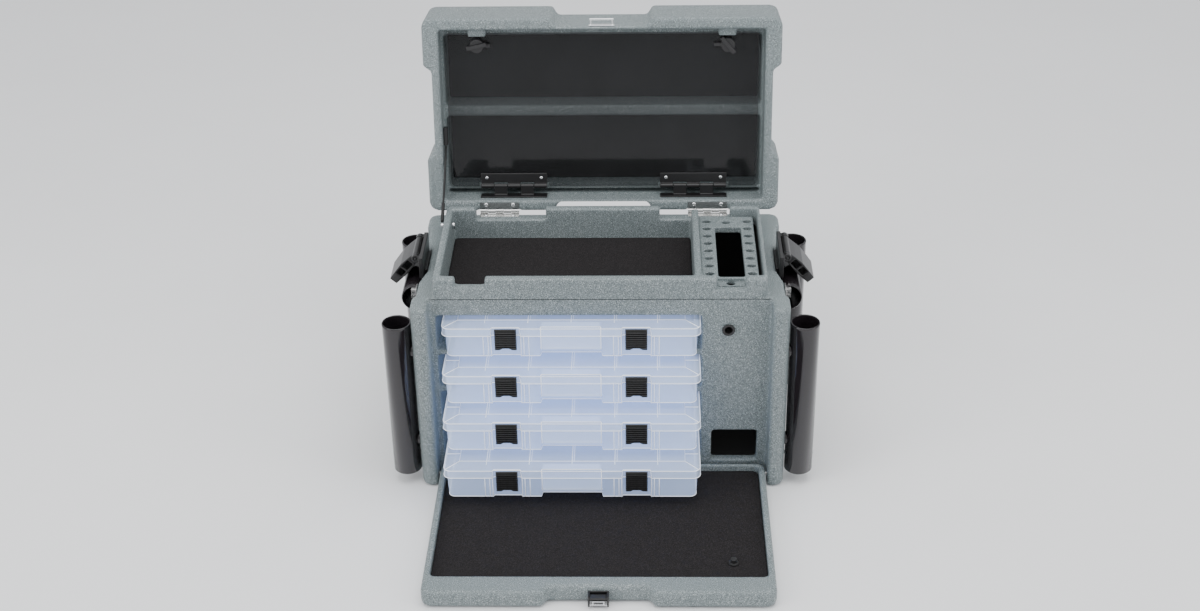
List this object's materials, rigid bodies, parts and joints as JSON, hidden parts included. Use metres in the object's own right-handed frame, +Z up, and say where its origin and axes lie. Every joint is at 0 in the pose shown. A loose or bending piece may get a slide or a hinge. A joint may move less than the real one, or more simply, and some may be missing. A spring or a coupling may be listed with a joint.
{
  "type": "fishing tackle box",
  "caption": "Moulded tackle chest with a windowed lid, drop-down front door, pull-out utility trays, lined top tray, lure rack, rod tubes and side handles.",
  "frame": {"origin": "centre of the underside of the body", "axes": "+Z up, +Y towards the back, where the lid is hinged, and +X to the right of someone facing the trays"},
  "size_m": [0.615, 0.7002, 0.5967],
  "materials": {
    "shell": "fine orange-peel, granite speckle",
    "foam": "felted foam",
    "clear": "translucent, glossy",
    "cover": "clear, glossy",
    "tube": "glossy",
    "black": "satin",
    "rubber": "matt",
    "steel": "satin stainless",
    "chrome": "bright"
  },
  "bodies": {
    "body": {"body_shell": "shell", "tray_liner": "foam", "lure_rack": "shell", "panel_grommet": "black", "stay_bolt": "chrome", "door_pin_left": "steel", "door_pin_right": "steel", "body_leaf_left": "steel", "body_leaf_right": "steel", "rod_tube_front_left": "tube", "rod_tube_front_right": "tube", "rod_tube_rear_left": "tube", "rod_tube_rear_right": "tube", "side_tube_left": "tube", "side_tube_right": "tube", "handle_plate_left": "black", "handle_plate_right": "black", "side_bracket_left": "steel", "side_bracket_right": "steel"},
    "lid": {"lid_shell": "shell", "lid_liner_lower": "foam", "lid_liner_upper": "foam", "latch_keeper": "chrome", "stay_clip": "black", "lid_stay": "rubber", "lid_leaf_left": "steel", "lid_leaf_right": "steel", "cover_hinge_base_left": "black", "cover_hinge_base_right": "black"},
    "cover": {"cover_panel": "cover", "cover_leaf_left": "black", "cover_leaf_right": "black"},
    "knob_left": {"cover_knob_left": "black"},
    "knob_right": {"cover_knob_right": "black"},
    "door": {"door_shell": "shell", "door_liner": "foam", "door_post": "rubber", "latch_base": "black"},
    "latch_lever": {"latch_lever": "black"},
    "latch_bail": {"latch_bail": "chrome"},
    "grip_left": {"handle_grip_left": "black"},
    "grip_right": {"handle_grip_right": "black"},
    "tray_1": {"tray_1_base": "clear", "tray_1_lid": "clear"},
    "tray_1_latch_left": {"tray_1_latch_left": "black"},
    "tray_1_latch_right": {"tray_1_latch_right": "black"},
    "tray_2": {"tray_2_base": "clear", "tray_2_lid": "clear"},
    "tray_2_latch_left": {"tray_2_latch_left": "black"},
    "tray_2_latch_right": {"tray_2_latch_right": "black"},
    "tray_3": {"tray_3_base": "clear", "tray_3_lid": "clear"},
    "tray_3_latch_left": {"tray_3_latch_left": "black"},
    "tray_3_latch_right": {"tray_3_latch_right": "black"},
    "tray_4": {"tray_4_base": "clear", "tray_4_lid": "clear"},
    "tray_4_latch_left": {"tray_4_latch_left": "black"},
    "tray_4_latch_right": {"tray_4_latch_right": "black"}
  },
  "joints": [
    {"name": "lid_hinge", "type": "hinge", "parent": "body", "child": "lid", "pos_m": [0, 0.145, 0.304], "axis": [-1, 0, 0], "range_deg": [-99, 0], "deforming": ["lid_stay"]},
    {"name": "cover_hinge", "type": "hinge", "parent": "lid", "child": "cover", "pos_m": [0, 0.1742, 0.33177], "axis": [1, 0, 0], "range_deg": [0, 75]},
    {"name": "knob_left_turn", "type": "hinge", "parent": "cover", "child": "knob_left", "pos_m": [-0.186, 0.20963, 0.54587], "axis": [0, 0.9877, -0.1564], "range_deg": [-90, 0]},
    {"name": "knob_right_turn", "type": "hinge", "parent": "cover", "child": "knob_right", "pos_m": [0.186, 0.20963, 0.54587], "axis": [0, 0.9877, -0.1564], "range_deg": [0, 90]},
    {"name": "door_hinge", "type": "hinge", "parent": "body", "child": "door", "pos_m": [0, -0.1275, 0.012], "axis": [1, 0, 0], "range_deg": [-8, 0]},
    {"name": "tray_1_slide", "type": "slide", "parent": "body", "child": "tray_1", "axis": [0, -1, 0], "range_m": [-0.026, 0]},
    {"name": "tray_1_latch_left_hinge", "type": "hinge", "parent": "tray_1", "child": "tray_1_latch_left", "pos_m": [-0.1325, -0.1362, 0.2306], "axis": [1, 0, 0], "range_deg": [0, 80]},
    {"name": "tray_1_latch_right_hinge", "type": "hinge", "parent": "tray_1", "child": "tray_1_latch_right", "pos_m": [0.0505, -0.1362, 0.2306], "axis": [1, 0, 0], "range_deg": [0, 80]},
    {"name": "tray_2_slide", "type": "slide", "parent": "body", "child": "tray_2", "axis": [0, -1, 0], "range_m": [-0.053, 0]},
    {"name": "tray_2_latch_left_hinge", "type": "hinge", "parent": "tray_2", "child": "tray_2_latch_left", "pos_m": [-0.1325, -0.1632, 0.1691], "axis": [1, 0, 0], "range_deg": [0, 80]},
    {"name": "tray_2_latch_right_hinge", "type": "hinge", "parent": "tray_2", "child": "tray_2_latch_right", "pos_m": [0.0505, -0.1632, 0.1691], "axis": [1, 0, 0], "range_deg": [0, 80]},
    {"name": "tray_3_slide", "type": "slide", "parent": "body", "child": "tray_3", "axis": [0, -1, 0], "range_m": [-0.08, 0]},
    {"name": "tray_3_latch_left_hinge", "type": "hinge", "parent": "tray_3", "child": "tray_3_latch_left", "pos_m": [-0.1325, -0.1902, 0.1076], "axis": [1, 0, 0], "range_deg": [0, 80]},
    {"name": "tray_3_latch_right_hinge", "type": "hinge", "parent": "tray_3", "child": "tray_3_latch_right", "pos_m": [0.0505, -0.1902, 0.1076], "axis": [1, 0, 0], "range_deg": [0, 80]},
    {"name": "tray_4_slide", "type": "slide", "parent": "body", "child": "tray_4", "axis": [0, -1, 0], "range_m": [-0.108, 0]},
    {"name": "tray_4_latch_left_hinge", "type": "hinge", "parent": "tray_4", "child": "tray_4_latch_left", "pos_m": [-0.1325, -0.2182, 0.0461], "axis": [1, 0, 0], "range_deg": [0, 80]},
    {"name": "tray_4_latch_right_hinge", "type": "hinge", "parent": "tray_4", "child": "tray_4_latch_right", "pos_m": [0.0505, -0.2182, 0.0461], "axis": [1, 0, 0], "range_deg": [0, 80]},
    {"name": "latch_lever_hinge", "type": "hinge", "parent": "door", "child": "latch_lever", "pos_m": [0, -0.408, 0.0148], "axis": [-1, 0, 0], "range_deg": [0, 80]},
    {"name": "latch_bail_hinge", "type": "hinge", "parent": "door", "child": "latch_bail", "pos_m": [0, -0.414, 0.005], "axis": [1, 0, 0], "range_deg": [0, 80]},
    {"name": "handle_left_hinge", "type": "hinge", "parent": "body", "child": "grip_left", "pos_m": [-0.265, 0, 0.32], "axis": [0, 1, 0], "range_deg": [0, 100]},
    {"name": "handle_right_hinge", "type": "hinge", "parent": "body", "child": "grip_right", "pos_m": [0.265, 0, 0.32], "axis": [0, -1, 0], "range_deg": [0, 100]}
  ]
}
